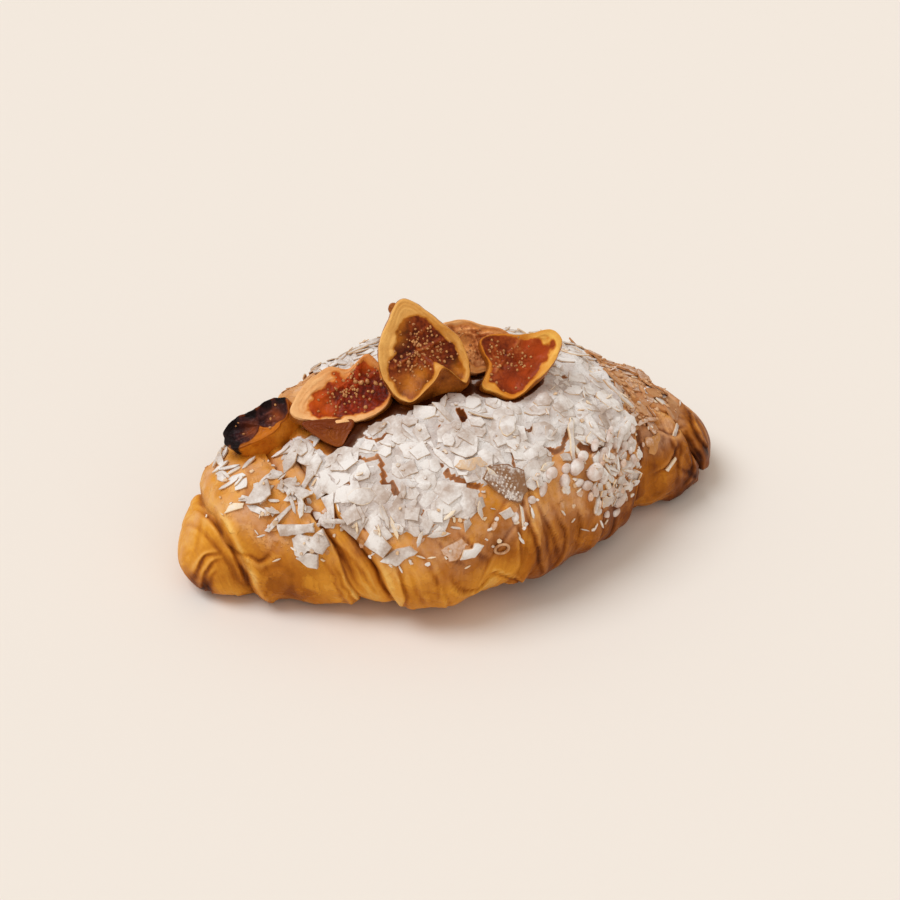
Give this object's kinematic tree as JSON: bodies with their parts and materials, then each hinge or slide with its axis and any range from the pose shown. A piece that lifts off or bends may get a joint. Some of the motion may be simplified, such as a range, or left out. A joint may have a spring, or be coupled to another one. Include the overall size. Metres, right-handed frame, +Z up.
{
  "type": "almond croissant with roasted fig",
  "caption": "Plump almond croissant with rolled layers, fused almond flakes and icing sugar, topped along its crest with roasted fig wedges.",
  "frame": {"origin": "middle of the footprint, on the surface that the croissant rests on", "axes": "+X along the croissant from its pale nub to its dark end, +Y from its front to its back, +Z up"},
  "size_m": [0.174, 0.1015, 0.0811],
  "materials": {
    "crust": "baked laminated dough, golden between the layers and browner on the blistered wraps, slightly glazed",
    "almond": "flaked almonds, ivory with thin toasted edges",
    "icing_sugar": "soft matt white powder",
    "fig_flesh": "moist roasted pulp with pale seeds inside a yellow-green to amber rim",
    "fig_skin": "roasted brown skin, slightly sticky",
    "fig_char": "charred black-brown crust over purple pulp"
  },
  "bodies": {
    "root": {"croissant": "crust", "fig_left": "fig_flesh", "fig_top": "fig_flesh", "fig_right": "fig_flesh", "fig_back": "fig_flesh", "fig_charred": "fig_char", "fig_under": "fig_skin"}
  },
  "joints": []
}
